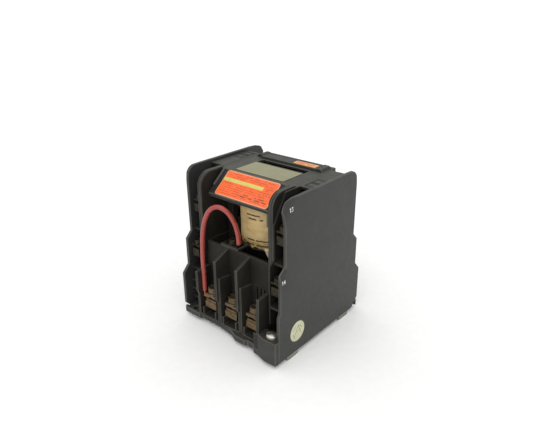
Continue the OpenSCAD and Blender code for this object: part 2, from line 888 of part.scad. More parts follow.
module right_aux_body() {
    color("#2f2d29") aux_body([-11, 24]);
}

module left_aux_body() {
    color("#2f2d29") rotate([0, 0, 180]) aux_body([-24, 11]);
}

// Slider with a notch for the carrier's tongue and a slot for each contact bridge
module aux_slider() {
    clear = 0.2;
    difference() {
        box_between([slider_x[0], -slider_y, slider_z[0]], [slider_x[1], slider_y, slider_z[1]]);
        box_between([slider_x[0] - 1, -tongue_y - clear, tongue_z - clear],
                    [tongue_x + clear, tongue_y + clear, tongue_z + tongue_h + clear]);
        for (z = [aux_no_z, aux_nc_z])
            box_between([aux_screw_x - aux_bridge_w / 2, -slider_y - 1, z],
                        [aux_screw_x + aux_bridge_w / 2, slider_y + 1, z + aux_strip_t]);
    }
}

module right_aux_slider() {
    color("#6b2f22") aux_slider();
}

module left_aux_slider() {
    color("#6b2f22") rotate([0, 0, 180]) aux_slider();
}

module aux_bridge_pair() {
    for (pair = [[aux_no_z, -1], [aux_nc_z, 1]]) translate([aux_screw_x, 0, pair[0]]) {
        box_between([-aux_bridge_w / 2, -aux_bridge_y, 0], [aux_bridge_w / 2, aux_bridge_y, aux_strip_t]);
        for (s = [-1, 1]) translate([0, s * aux_tip_y, pair[1] > 0 ? aux_strip_t : -aux_tip_h])
            cylinder(r = aux_tip_r, h = aux_tip_h, $fn = smooth);
    }
}

module right_aux_bridges() {
    color("#b58a4a") aux_bridge_pair();
}

module left_aux_bridges() {
    color("#b58a4a") rotate([0, 0, 180]) aux_bridge_pair();
}

// Fixed auxiliary contacts: [screw position along y, strip height, side of the tip]
aux_places = [
    [aux_a_low, aux_low_z, 1], [aux_a_high, aux_high_z, -1],
    [aux_b_low, aux_low_z, 1], [aux_b_high, aux_high_z, -1]
];
aux_block_h = 4.5;
aux_block_l = 6;
aux_shank_r = 1.3;
aux_saddle_gap = 1.8;
aux_saddle_t = 1.2;

module aux_contact_set() {
    for (p = aux_places) {
        outward = sign(p[0]);
        outer_y = p[0] + outward * aux_block_l / 2;
        inner_y = outward * aux_inner_y;
        translate([aux_screw_x, 0, 0]) difference() {
            union() {
                box_between([-aux_strip_w / 2, min(outer_y, inner_y), p[1]],
                            [aux_strip_w / 2, max(outer_y, inner_y), p[1] + aux_strip_t]);
                translate([0, outward * aux_tip_y, p[2] > 0 ? p[1] + aux_strip_t : p[1] - aux_tip_h])
                    cylinder(r = aux_tip_r, h = aux_tip_h, $fn = smooth);
                box_between([-aux_strip_w / 2, p[0] - aux_block_l / 2, p[1] - aux_block_h],
                            [aux_strip_w / 2, p[0] + aux_block_l / 2, p[1]]);
            }
            translate([0, p[0], p[1] - aux_block_h - 1])
                cylinder(r = aux_shank_r, h = aux_block_h + 3, $fn = smooth);
        }
    }
}

module right_aux_contacts() {
    color("#b7a36a") aux_contact_set();
}

module left_aux_contacts() {
    color("#b7a36a") rotate([0, 0, 180]) aux_contact_set();
}

module aux_terminal_screws() {
    saddle = [7, 5.4];
    head = [2.6, 2.8];
    shank_l = aux_saddle_t + aux_saddle_gap + aux_strip_t + aux_block_h - 0.5;
    color("#b5b09c") both_ends() for (p = aux_places)
        translate([aux_screw_x, p[0], p[1] + aux_strip_t + aux_saddle_gap]) {
            difference() {
                box_between([-saddle[0] / 2, -saddle[1] / 2, 0],
                            [saddle[0] / 2, saddle[1] / 2, aux_saddle_t]);
                translate([0, 0, -1]) cylinder(r = aux_shank_r, h = aux_saddle_t + 2, $fn = smooth);
            }
            translate([0, 0, aux_saddle_t]) screw(head[0], head[1], aux_shank_r, shank_l);
        }
}

// ---------------------------------------------------------------- jumper lead

module jumper_lead() {
    color("#a5443c") tube(lead_route, lead_d / 2, lead_sides);
}

// Bared ends of the lead: one under the coil screw, one in the first line terminal
module lead_ends() {
    start = lead_route[0];
    finish = lead_route[len(lead_route) - 1];
    plate_top = housing_z + sheet_t + coil_plate_t;
    wire_z = strip_z + strip_t + lead_end_r;
    reach = poles[0] - shank_r - 0.6 - finish[0];
    color("#b87333") {
        translate([start[0], start[1], plate_top])
            cylinder(r = lead_end_r, h = start[2] - plate_top, $fn = 16);
        translate([finish[0], finish[1], wire_z]) {
            cylinder(r = lead_end_r, h = finish[2] - wire_z, $fn = 16);
            translate([-lead_end_r, 0, 0]) rotate([0, 90, 0])
                cylinder(r = lead_end_r, h = reach + lead_end_r, $fn = 16);
        }
    }
}

// ---------------------------------------------------------------- the nodes

base_plate();
base_feet();
contact_housing();
partition_plate();
line_barriers();
load_barriers();
left_cheek();
right_cheek();
top_cap();
rating_label();
marker_plate();
rear_rail();
rail_label();
left_rail_clip();
right_rail_clip();
coil_bobbin();
coil_winding();
coil_wrap();
coil_collar();
coil_terminals();
coil_terminal_screws();
fixed_core();
shading_rings();
core_cushion();
line_contact(0);  // line_contact_1
line_contact(1);  // line_contact_2
line_contact(2);  // line_contact_3
load_contact(0);  // load_contact_1
load_contact(1);  // load_contact_2
load_contact(2);  // load_contact_3
terminal_saddles();
terminal_washers();
terminal_screws();
contact_carrier();
armature();
armature_pin();
bridge(0);  // bridge_1
bridge(1);  // bridge_2
bridge(2);  // bridge_3
contact_spring(0);  // contact_spring_1
contact_spring(1);  // contact_spring_2
contact_spring(2);  // contact_spring_3
return_spring(-1);  // return_spring_left
return_spring(1);  // return_spring_right
left_aux_body();
right_aux_body();
left_aux_cover();
right_aux_cover();
left_aux_slider();
right_aux_slider();
left_aux_bridges();
right_aux_bridges();
left_aux_contacts();
right_aux_contacts();
aux_terminal_screws();
lug_screws();
jumper_lead();
lead_ends();
round_sticker();
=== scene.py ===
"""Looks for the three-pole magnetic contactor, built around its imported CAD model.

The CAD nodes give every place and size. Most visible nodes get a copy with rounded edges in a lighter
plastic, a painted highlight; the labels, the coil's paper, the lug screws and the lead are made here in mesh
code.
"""

import json
import math
import random

import bmesh
import bpy
from mathutils import Matrix, Vector, noise

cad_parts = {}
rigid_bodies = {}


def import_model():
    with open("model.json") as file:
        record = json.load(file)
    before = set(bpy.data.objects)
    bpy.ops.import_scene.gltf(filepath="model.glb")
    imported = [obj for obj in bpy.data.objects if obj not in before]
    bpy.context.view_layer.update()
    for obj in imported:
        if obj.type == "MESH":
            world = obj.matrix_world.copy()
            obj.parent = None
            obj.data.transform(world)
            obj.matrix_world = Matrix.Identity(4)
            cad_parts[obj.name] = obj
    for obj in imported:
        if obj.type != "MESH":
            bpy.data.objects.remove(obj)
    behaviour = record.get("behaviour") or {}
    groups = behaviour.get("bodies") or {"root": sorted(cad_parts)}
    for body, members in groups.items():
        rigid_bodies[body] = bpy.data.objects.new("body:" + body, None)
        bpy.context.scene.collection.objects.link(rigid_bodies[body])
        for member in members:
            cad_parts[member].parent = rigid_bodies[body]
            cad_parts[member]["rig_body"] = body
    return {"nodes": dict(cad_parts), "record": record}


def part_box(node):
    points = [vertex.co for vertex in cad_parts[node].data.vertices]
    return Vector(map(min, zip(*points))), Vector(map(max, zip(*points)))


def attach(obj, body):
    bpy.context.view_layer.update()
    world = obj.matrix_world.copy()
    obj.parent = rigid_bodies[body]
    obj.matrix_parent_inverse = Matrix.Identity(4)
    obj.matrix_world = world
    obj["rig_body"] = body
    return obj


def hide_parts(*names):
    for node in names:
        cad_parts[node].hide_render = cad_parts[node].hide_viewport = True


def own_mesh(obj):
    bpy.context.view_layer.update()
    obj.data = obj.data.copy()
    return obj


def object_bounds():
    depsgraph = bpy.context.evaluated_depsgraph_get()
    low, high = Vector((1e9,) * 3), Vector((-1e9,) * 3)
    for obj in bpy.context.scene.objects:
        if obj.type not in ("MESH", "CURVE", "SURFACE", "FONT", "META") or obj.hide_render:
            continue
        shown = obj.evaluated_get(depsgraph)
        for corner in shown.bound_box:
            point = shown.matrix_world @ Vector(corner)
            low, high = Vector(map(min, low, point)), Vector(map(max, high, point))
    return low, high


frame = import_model()
CAD_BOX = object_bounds()

MM = 0.001
RIGHT = Vector((1, 0, 0))
BACK = Vector((0, 1, 0))
UP = Vector((0, 0, 1))
ORIGIN = Vector((0, 0, 0))


# ---------------------------------------------------------------- what the frame says

def box(node):
    """A node's lowest and highest corners."""
    low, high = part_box(node)
    return Vector(low), Vector(high)


def slot_of(node):
    """The record's material slot of a CAD node."""
    return next(part["material_slot"] for part in frame["record"]["subparts"] if part["node"] == node)


# ---------------------------------------------------------------- camera, floor and light

def aim_at(thing, place, target):
    thing.location = place
    thing.rotation_euler = (Vector(place) - Vector(target)).to_track_quat("Z", "Y").to_euler()
    bpy.context.scene.collection.objects.link(thing)


def make_camera():
    """The viewpoint, as two angles and a distance from a point near the middle of the CAD box."""
    azimuth = math.radians(39.53)
    elevation = math.radians(23.88)
    distance = 0.3449
    aim = (CAD_BOX[0] + CAD_BOX[1]) / 2 + Vector((-0.0008, 0.0094, 0.0104))
    away = Vector((math.sin(azimuth) * math.cos(elevation),
                   -math.cos(azimuth) * math.cos(elevation),
                   math.sin(elevation)))
    data = bpy.data.cameras.new("camera")
    data.sensor_width = 36.0
    data.lens = 33.75
    data.clip_start = 0.01
    camera = bpy.data.objects.new("camera", data)
    aim_at(camera, aim + away * distance, aim)
    bpy.context.scene.camera = camera


def soft_sun(name, place, strength):
    """Light from a wide patch of the sky around the given place."""
    data = bpy.data.lights.new(name, "SUN")
    data.angle = math.radians(50)
    data.energy = strength
    aim_at(bpy.data.objects.new(name, data), place, (0, 0, 0))


def make_stage():
    """A pale floor that meets the feet, soft lights and a pale world."""
    low = CAD_BOX[0][2]
    reach = 20.0
    corners = [(x * reach, y * reach, low) for x, y in ((-1, -1), (1, -1), (1, 1), (-1, 1))]
    mesh = bpy.data.meshes.new("floor")
    mesh.from_pydata(corners, [], [(0, 1, 2, 3)])
    mesh.materials.append(MATERIALS["floor"])
    floor = bpy.data.objects.new("floor", mesh)
    bpy.context.scene.collection.objects.link(floor)

    soft_sun("key", (0.5, -0.9, 1.3), 0.6)
    soft_sun("top", (-0.2, -0.3, 1.0), 0.15)
    world = bpy.data.worlds.new("studio")
    world.use_nodes = True
    background = world.node_tree.nodes["Background"]
    background.inputs["Color"].default_value = (1.0, 1.0, 1.0, 1.0)
    background.inputs["Strength"].default_value = 1.0
    bpy.context.scene.world = world
    bpy.context.scene.view_settings.view_transform = "Standard"


# ---------------------------------------------------------------- materials

MATERIALS = {}


def new_material(name, roughness, metallic=0.0):
    """A material that is kept under its name, because the frame's own materials have the same names."""
    mat = bpy.data.materials.new(name + "_finish")
    MATERIALS[name] = mat
    mat.use_nodes = True
    nodes = mat.node_tree.nodes
    bsdf = nodes["Principled BSDF"]
    bsdf.inputs["Roughness"].default_value = roughness
    bsdf.inputs["Metallic"].default_value = metallic
    return nodes, mat.node_tree.links, bsdf


def noise_of(nodes, links, scale, detail=3.0, stretch=(1, 1, 1)):
    """The value of a noise texture in the object's own coordinates. scale is in turns per metre."""
    coordinates = nodes.new("ShaderNodeTexCoord")
    mapping = nodes.new("ShaderNodeMapping")
    mapping.inputs["Scale"].default_value = stretch
    texture = nodes.new("ShaderNodeTexNoise")
    texture.inputs["Scale"].default_value = scale
    texture.inputs["Detail"].default_value = detail
    links.new(coordinates.outputs["Object"], mapping.inputs["Vector"])
    links.new(mapping.outputs["Vector"], texture.inputs["Vector"])
    return texture.outputs["Fac"]


def colour_by(nodes, links, bsdf, value, stops):
    """Base colour from a value. stops are (place, (red, green, blue)) in linear light."""
    ramp = nodes.new("ShaderNodeValToRGB")
    elements = ramp.color_ramp.elements
    elements[0].position, elements[-1].position = stops[0][0], stops[-1][0]
    elements[0].color, elements[-1].color = (*stops[0][1], 1), (*stops[-1][1], 1)
    for at, colour in stops[1:-1]:
        elements.new(at).color = (*colour, 1)
    links.new(value, ramp.inputs["Fac"])
    links.new(ramp.outputs["Color"], bsdf.inputs["Base Color"])


def roughness_by(nodes, links, bsdf, value, low, high):
    span = nodes.new("ShaderNodeMapRange")
    span.inputs["To Min"].default_value = low
    span.inputs["To Max"].default_value = high
    links.new(value, span.inputs["Value"])
    links.new(span.outputs["Result"], bsdf.inputs["Roughness"])


def bump_by(nodes, links, bsdf, value, strength, distance):
    bump = nodes.new("ShaderNodeBump")
    bump.inputs["Strength"].default_value = strength
    bump.inputs["Distance"].default_value = distance
    links.new(value, bump.inputs["Height"])
    links.new(bump.outputs["Normal"], bsdf.inputs["Normal"])


def linear(*display):
    """Linear light from the 0 to 255 values of a display colour."""
    shares = [value / 255 for value in display]
    return tuple(v / 12.92 if v <= 0.04045 else ((v + 0.055) / 1.055) ** 2.4 for v in shares)


def scaled(colour, factor):
    return tuple(min(1.0, c * factor) for c in colour)


def plastic(name, colour, roughness=0.5, mottle=0.2, grain=0.25, specular=0.22):
    """Moulded plastic: slow colour changes, the fine grain of an eroded mould and uneven gloss."""
    nodes, links, bsdf = new_material(name, roughness)
    bsdf.inputs["Specular IOR Level"].default_value = specular
    colour_by(nodes, links, bsdf, noise_of(nodes, links, 70, 5),
              [(0.3, scaled(colour, 1 - mottle)), (0.52, colour), (0.72, scaled(colour, 1 + mottle))])
    roughness_by(nodes, links, bsdf, noise_of(nodes, links, 260, 3), roughness - 0.1, roughness + 0.12)
    bump_by(nodes, links, bsdf, noise_of(nodes, links, 1900, 2), grain, 0.00006)


def metal(name, colour, tarnish, roughness=0.35, brushed=(1, 1, 1), spots=0.55):
    """Metal with patches of tarnish and fine scratches along one direction."""
    nodes, links, bsdf = new_material(name, roughness, 1.0)
    colour_by(nodes, links, bsdf, noise_of(nodes, links, 420, 5),
              [(spots - 0.25, colour), (spots, scaled(colour, 0.8)), (spots + 0.2, tarnish)])
    roughness_by(nodes, links, bsdf, noise_of(nodes, links, 600, 4), roughness - 0.08, roughness + 0.22)
    bump_by(nodes, links, bsdf, noise_of(nodes, links, 1500, 3, brushed), 0.35, 0.00005)


def paper(name, colour, stain, roughness=0.62, fibre=0.35):
    """Wrapping paper: stains in slow patches, and fibres that run round the coil."""
    nodes, links, bsdf = new_material(name, roughness)
    colour_by(nodes, links, bsdf, noise_of(nodes, links, 110, 6, (1, 1, 2.5)),
              [(0.2, stain), (0.55, colour), (0.8, scaled(colour, 1.1))])
    roughness_by(nodes, links, bsdf, noise_of(nodes, links, 200, 2), roughness - 0.15, roughness + 0.1)
    bump_by(nodes, links, bsdf, noise_of(nodes, links, 500, 4, (1, 1, 6)), fibre, 0.00006)


def film(name, colour, roughness=0.38, fade=0.08):
    """Printed film: an even colour that fades a little in patches, with a faint ripple."""
    nodes, links, bsdf = new_material(name, roughness)
    colour_by(nodes, links, bsdf, noise_of(nodes, links, 180, 4),
              [(0.35, scaled(colour, 1 - fade)), (0.65, scaled(colour, 1 + fade))])
    roughness_by(nodes, links, bsdf, noise_of(nodes, links, 320, 2), roughness - 0.08, roughness + 0.12)
    bump_by(nodes, links, bsdf, noise_of(nodes, links, 240, 2), 0.15, 0.0002)


def make_materials():
    """Every material, by the name of its record slot or of the detail that it is for."""
    brown = linear(66, 56, 44)
    film("floor", linear(246, 246, 245), 0.8, 0.01)
    # The second plastic of each pair below is a lighter copy of the first: a painted highlight for rounded
    # edges
    plastic("base_plastic", linear(54, 54, 51), 0.5, 0.3)
    plastic("base_plastic_worn", linear(80, 79, 74), 0.5, 0.25)
    plastic("foot_plastic", linear(118, 119, 106), 0.6, 0.15)
    plastic("foot_plastic_worn", linear(140, 141, 128), 0.6, 0.15)
    plastic("housing_plastic", linear(38, 36, 32), 0.6, 0.3)
    plastic("housing_plastic_worn", linear(54, 52, 46), 0.55, 0.3)
    plastic("barrier_plastic", linear(46, 44, 40), 0.55, 0.3)
    plastic("barrier_plastic_worn", linear(78, 76, 69), 0.5, 0.25)
    plastic("cheek_plastic", linear(42, 40, 37), 0.5, 0.3)
    plastic("cheek_plastic_worn", linear(74, 73, 67), 0.45, 0.2)
    plastic("cover_plastic", linear(55, 55, 54), 0.42, 0.1, 0.12)
    plastic("cover_plastic_worn", linear(80, 80, 75), 0.45, 0.2)
    plastic("cap_plastic", linear(66, 66, 60), 0.55, 0.15)
    plastic("cap_plastic_worn", linear(88, 87, 79), 0.5, 0.15)
    plastic("rail_plastic", linear(54, 55, 49), 0.5, 0.15)
    plastic("rail_plastic_worn", linear(80, 79, 71), 0.5, 0.15)
    plastic("marker_plastic", linear(138, 136, 106), 0.5, 0.06, 0.1)
    plastic("marker_plastic_worn", linear(158, 156, 126), 0.5, 0.06)
    film("label_orange", linear(238, 100, 38))
    film("label_border", linear(222, 158, 120))
    film("label_stripe", linear(196, 192, 96))
    film("label_print", linear(168, 56, 24), 0.45)
    film("label_pale_orange", linear(222, 150, 88))
    film("print_dark", linear(70, 58, 44), 0.5)
    film("print_white", linear(232, 232, 226), 0.5, 0.04)
    paper("coil_paper", linear(212, 184, 128), linear(176, 148, 98))
    paper("collar_paper", linear(214, 180, 112), linear(150, 116, 60))
    paper("torn_paper", linear(242, 230, 202), linear(198, 178, 134), 0.7, 0.5)
    paper("sticker_paper", linear(196, 196, 164), linear(188, 186, 150), 0.55, 0.12)
    metal("copper_wire", linear(170, 96, 58), linear(96, 52, 32), 0.3, (1, 1, 8))
    metal("copper", linear(196, 128, 84), linear(112, 74, 50), 0.35)
    metal("core_steel", linear(112, 113, 116), linear(72, 66, 60), 0.42, (1, 8, 1))
    plastic("rubber", linear(28, 28, 28), 0.8, 0.2, 0.5, 0.2)
    metal("contact_brass", linear(122, 104, 78), brown, 0.45)
    metal("clamp_steel", linear(124, 108, 86), linear(92, 76, 58), 0.5, (1, 1, 1), 0.5)
    metal("dull_metal", linear(72, 68, 57), linear(46, 42, 35), 0.55, (1, 1, 1), 0.45)
    metal("screw_nickel", linear(214, 210, 198), linear(150, 142, 124), 0.3, (1, 1, 1), 0.66)
    metal("spring_steel", linear(176, 176, 176), linear(110, 108, 104), 0.3)
    plastic("carrier_plastic", linear(33, 33, 31), 0.55, 0.25)
    plastic("slider_plastic", linear(96, 46, 32), 0.5, 0.25)
    plastic("lead_insulation", linear(158, 62, 55), 0.28, 0.12, 0.06, 0.6)


# ---------------------------------------------------------------- making pieces

def place(mesh, name, body, slot, materials, smooth_angle=35):
    """Makes a mesh into a piece that rides on a body and takes the given materials. The slot is not used."""
    for key in materials:
        mesh.materials.append(MATERIALS[key])
    for face in mesh.polygons:
        face.use_smooth = True
    mesh.set_sharp_from_angle(angle=math.radians(smooth_angle))
    piece = bpy.data.objects.new(name, mesh)
    bpy.context.scene.collection.objects.link(piece)
    piece.modifiers.new("weighted_normal", "WEIGHTED_NORMAL").keep_sharp = True
    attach(piece, body)
    return piece


def finish_mesh(bm, name):
    mesh = bpy.data.meshes.new(name)
    bm.to_mesh(mesh)
    bm.free()
    return mesh


def round_edges(bm, width, segments, edge_highlight, angle=30):
    """Rounds each sharp edge. If asked, the rounded faces get the second material, a lighter plastic as
    painted highlight.
    """
    sharp = [e for e in bm.edges
             if len(e.link_faces) == 2 and e.calc_face_angle(0.0) > math.radians(angle)]
    bmesh.ops.bevel(bm, geom=sharp, offset=width, offset_type="OFFSET", segments=segments, profile=0.5,
                    affect="EDGES", clamp_overlap=False, material=1 if edge_highlight else -1)


# Materials of a node's sides, its rounded edges and its top, where they aren't its slot's own. The lighter
# tops of the cap, the cheeks and the auxiliary blocks are painted top light, the cap's darker sides painted
# shade, and the lighter edge plastics painted highlight
DULL = ("dull_metal", "dull_metal", "dull_metal")
SIDE_EDGE_TOP = {
    "top_cap": ("cheek_plastic", "cap_plastic_worn", "cap_plastic"),
    "left_cheek": ("cheek_plastic", "cheek_plastic_worn", "cap_plastic"),
    "right_cheek": ("cheek_plastic", "cheek_plastic_worn", "cap_plastic"),
    "left_aux_body": ("housing_plastic", "housing_plastic_worn", "cap_plastic"),
    "right_aux_body": ("housing_plastic", "housing_plastic_worn", "cap_plastic"),
    "left_aux_contacts": DULL,
    "right_aux_contacts": DULL,
    "aux_terminal_screws": DULL,
    "coil_bobbin": ("base_plastic", "base_plastic_worn", "base_plastic"),
    "coil_terminals": DULL,
    "coil_terminal_screws": DULL,
}


def side_edge_top_of(node):
    """The materials of a node's sides, its rounded edges and its top. A lighter edge is a painted highlight,
    a lighter top painted top light.
    """
    slot = slot_of(node)
    edge_highlight = slot + "_worn"
    return SIDE_EDGE_TOP.get(node) or (slot, edge_highlight if edge_highlight in MATERIALS else slot, slot)


def rounded_copy(node, width, segments=2, cut=None):
    """A piece in place of a CAD node: the same solid with rounded edges. cut may change it first."""
    weld = 0.002 * MM
    flatness = math.radians(0.5)
    facing_up = 0.9
    top_depth = 1.2 * MM
    low, high = box(node)
    bm = bmesh.new()
    bm.from_mesh(frame["nodes"][node].data)
    bmesh.ops.remove_doubles(bm, verts=bm.verts, dist=weld)
    if cut:
        cut(bm)
    bmesh.ops.dissolve_limit(bm, angle_limit=flatness, verts=bm.verts, edges=bm.edges)
    # Faces at the top take the third material; for the cap, the cheeks and the auxiliary blocks it is a
    # lighter plastic, painted top light
    for face in bm.faces:
        on_top = face.normal.z > facing_up and high.z - face.calc_center_median().z < top_depth
        face.material_index = 2 if on_top else 0
    # The rounded edges take the second material, a lighter plastic as painted highlight where the slot has
    # one
    round_edges(bm, width, segments, True)
    # A bevel may shoot past a sharp corner, so nothing stays outside the node's own box
    for vert in bm.verts:
        vert.co = [min(max(c, a), b) for c, a, b in zip(vert.co, low, high)]
    bmesh.ops.triangulate(bm, faces=[f for f in bm.faces if len(f.verts) > 4])
    name = node + "_looks"
    piece = place(finish_mesh(bm, name), name, frame["nodes"][node]["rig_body"], slot_of(node),
                  side_edge_top_of(node))
    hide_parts(node)


def slice_off(bm, point, outward):
    """Cuts a flat facet: what lies outward of the plane goes, and the cut is closed."""
    whole = bm.verts[:] + bm.edges[:] + bm.faces[:]
    cut = bmesh.ops.bisect_plane(bm, geom=whole, plane_co=point, plane_no=outward, clear_outer=True,
                                 dist=0.0001 * MM)
    rim = [e for e in cut["geom_cut"] if isinstance(e, bmesh.types.BMEdge)]
    bmesh.ops.holes_fill(bm, edges=rim, sides=0)


def carve(bm, cutter):
    """Takes the cutter's solid away from a mesh. The cutter is used up."""
    body = bpy.data.objects.new("carved", finish_mesh(bm.copy(), "carved"))
    tool = bpy.data.objects.new("cutter", finish_mesh(cutter, "cutter"))
    for thing in (body, tool):
        bpy.context.scene.collection.objects.link(thing)
    step = body.modifiers.new("carve", "BOOLEAN")
    step.operation = "DIFFERENCE"
    step.solver = "EXACT"
    step.object = tool
    bpy.context.view_layer.update()
    shown = body.evaluated_get(bpy.context.evaluated_depsgraph_get())
    bm.clear()
    bm.from_mesh(shown.to_mesh())
    shown.to_mesh_clear()
    for thing in (body, tool):
        mesh = thing.data
        bpy.data.objects.remove(thing)
        bpy.data.meshes.remove(mesh)


def plan_frame(origin, right, up):
    """A matrix from (right, up, out) to the shared frame."""
    turn = Matrix((right, up, right.cross(up))).transposed().to_4x4()
    return Matrix.Translation(origin) @ turn


def add_prism(bm, plan, outline, low, high, material=0):
    """A plate with the given outline of (right, up) points, between two heights along out."""
    count = len(outline)
    bottom = [bm.verts.new(plan @ Vector((x, y, low))) for x, y in outline]
    top = [bm.verts.new(plan @ Vector((x, y, high))) for x, y in outline]
    faces = [bm.faces.new(top), bm.faces.new(bottom[::-1])]
    for i in range(count):
        j = (i + 1) % count
        faces.append(bm.faces.new((bottom[i], bottom[j], top[j], top[i])))
    for face in faces:
        face.material_index = material


def add_bar(bm, plan, start, end, width, low, high, material=0):
    """A straight bar of the given width from one (right, up) point to another."""
    along = (Vector(end) - Vector(start)).normalized() * width / 2
    side = Vector((-along.y, along.x))
    a, b = Vector(start) - along, Vector(end) + along
    add_prism(bm, plan, [a - side, b - side, b + side, a + side], low, high, material)


def add_frame(bm, plan, low_corner, high_corner, line, depth, material=0):
    """Four bars round a rectangle."""
    (x0, y0), (x1, y1) = low_corner, high_corner
    corners = [(x0, y0), (x1, y0), (x1, y1), (x0, y1)]
    for start, end in zip(corners, corners[1:] + corners[:1]):
        add_bar(bm, plan, start, end, line, depth[0], depth[1], material)


def round_rect(x0, y0, x1, y1, r, steps=5):
    """Outline of a rectangle with round corners, anticlockwise."""
    corners = [(x1 - r, y1 - r, 0), (x0 + r, y1 - r, 90), (x0 + r, y0 + r, 180), (x1 - r, y0 + r, 270)]
    turns = [(x, y, math.radians(a + 90 * k / steps)) for x, y, a in corners for k in range(steps + 1)]
    return [(x + r * math.cos(a), y + r * math.sin(a)) for x, y, a in turns]


def on_round(radius, angle, z):
    """A point on a cylinder about Z. The angle is in radians."""
    return Vector((radius * math.cos(angle), radius * math.sin(angle), z))


def add_lathe(bm, profile, centre, steps=48, material=0):
    """A closed solid of revolution about Z. profile is (radius, height) from axis to axis."""
    rings = []
    for r, z in profile:
        angles = [2 * math.pi * k / steps for k in range(steps if r > 0 else 1)]
        rings.append([bm.verts.new(centre + on_round(r, angle, z)) for angle in angles])
    for lower, upper in zip(rings, rings[1:]):
        for k in range(steps):
            j = (k + 1) % steps
            corners = [lower[k % len(lower)], lower[j % len(lower)],
                       upper[j % len(upper)], upper[k % len(upper)]]
            bm.faces.new(list(dict.fromkeys(corners))).material_index = material


def add_dashes(bm, plan, low_corner, high_corner, rows, seed, height, depth, material=0, fill=0.75):
    """Rows of short bars of uneven length, like small print that says nothing."""
    draw = random.Random(seed)
    (x0, y0), (x1, y1) = low_corner, high_corner
    for row in range(rows):
        y = y1 - (y1 - y0) * (row + 0.5) / rows
        x = x0 + draw.uniform(0, 0.08) * (x1 - x0)
        while x < x1:
            length = draw.uniform(0.4, 2.2) * MM
            if draw.random() < fill and x + length < x1:
                add_bar(bm, plan, (x, y), (x + length, y), height, depth[0], depth[1], material)
            x += length + draw.uniform(0.5, 0.9) * MM


# The strokes of each digit, in shares of its width and height
STROKES = {
    "1": [(0.15, 0.75), (0.55, 1.0), (0.55, 0.0)],
    "3": [(0.0, 0.95), (0.9, 1.0), (0.4, 0.58), (0.9, 0.35), (0.6, 0.0), (0.0, 0.08)],
    "4": [(0.65, 0.0), (0.65, 1.0), (0.0, 0.3), (1.0, 0.3)],
}


def add_number(bm, plan, start, digits, height, line, depth):
    """Small raised terminal numbers, drawn as strokes."""
    width = 0.55 * height
    pitch = 1.35 * width
    for count, digit in enumerate(digits):
        left = start[0] + count * pitch
        points = [(left + x * width, start[1] + y * height) for x, y in STROKES[digit]]
        for a, b in zip(points, points[1:]):
            add_bar(bm, plan, a, b, line, depth[0], depth[1])


# ---------------------------------------------------------------- the lead

def make_lead():
    """The red jumper lead, from the coil terminal down into the first line terminal."""
    diameter = 3 * MM
    # knots in millimetres, the same as in the part's source
    route = [(-2.6, -27.6, 60.2), (-2.6, -27.6, 64), (-2.9, -28.2, 68.5), (-3.6, -29, 73),
             (-4.6, -30.2, 77), (-6, -31.6, 80.5), (-8, -33, 83), (-11, -34.4, 84.4),
             (-14.4, -35.6, 83.8), (-17.4, -36.6, 81.2), (-19.8, -37.3, 77), (-21.6, -37.7, 72),
             (-22.8, -37.9, 66.5), (-23.6, -38, 61), (-24, -38, 55.5), (-24.3, -38, 50),
             (-24.4, -38, 44.5), (-24.4, -38, 39), (-24.4, -38, 33.5), (-24.4, -38, 28.5),
             (-24.4, -38, 24.4)]
    points = [Vector(p) * MM for p in route]
    data = bpy.data.curves.new("jumper_lead_looks", "CURVE")
    data.dimensions = "3D"
    data.bevel_depth = diameter / 2
    data.bevel_resolution = 6
    data.resolution_u = 6
    data.use_fill_caps = True
    spline = data.splines.new("BEZIER")
    spline.bezier_points.add(len(points) - 1)
    for knot, point in zip(spline.bezier_points, points):
        knot.co = point
        knot.handle_left_type = knot.handle_right_type = "AUTO"
    data.materials.append(MATERIALS["lead_insulation"])
    lead = bpy.data.objects.new("jumper_lead_looks", data)
    bpy.context.scene.collection.objects.link(lead)
    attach(lead, "root")
    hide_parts("jumper_lead")


# ---------------------------------------------------------------- covers

def make_covers():
    """The two outer covers, with a bevelled facet at the upper and at the middle corner, and numbers."""
    out_x = box("right_aux_cover")[1].x
    facet_depth = 1.2 * MM
    facet_width = 2.8 * MM
    overrun = 2 * MM
    wedge_t = 3 * MM
    edge_r = 0.45 * MM
    digit_h = 2.3 * MM
    ink_w = 0.38 * MM
    ink_t = 0.05 * MM
    numbers = [("13", (-35.2 * MM, 95.6 * MM)), ("14", (-41.5 * MM, 54.4 * MM))]
    upper = [Vector((0, -40.2, 97.2)) * MM, Vector((0, -32, 103)) * MM]
    middle = [Vector((0, -42.4, 60)) * MM, Vector((0, -38, 63.5)) * MM]

    def facet(ends):
        """A facet's direction, and its first points on the cover's rim and on its outer face."""
        along = (ends[1] - ends[0]).normalized()
        outward = RIGHT.cross(along)
        edge = ends[0] + RIGHT * (out_x - facet_depth)
        inner = ends[0] + RIGHT * out_x - outward * facet_width
        return along, edge, inner

    def cut_facets(turn):
        def cut(bm):
            along, edge, inner = facet(upper)
            normal = along.cross(inner - edge).normalized()
            if normal.x < 0:
                normal.negate()
            slice_off(bm, turn @ edge, turn.to_3x3() @ normal)
            along, edge, inner = facet(middle)
            length = (middle[1] - middle[0]).length
            far = 2 * (edge - inner).length
            wedge = bmesh.new()
            plan = turn @ plan_frame(inner, (edge - inner).normalized(), along)
            add_prism(wedge, plan, [(0, -overrun), (far, -overrun), (far, length), (0, length)], -wedge_t, 0)
            bmesh.ops.recalc_face_normals(wedge, faces=wedge.faces)
            carve(bm, wedge)
        return cut

    for name, angle in (("right", 0), ("left", math.pi)):
        turn = Matrix.Rotation(angle, 4, "Z")
        rounded_copy(name + "_aux_cover", edge_r, 3, cut_facets(turn))
        plan = turn @ plan_frame(RIGHT * out_x, BACK, UP)
        bm = bmesh.new()
        for digits, spot in numbers:
            add_number(bm, plan, spot, digits, digit_h, ink_w, (-ink_t, ink_t))
        place(finish_mesh(bm, name + "_cover_numbers"), name + "_cover_numbers", "root",
              "cover_plastic", ["print_white"])


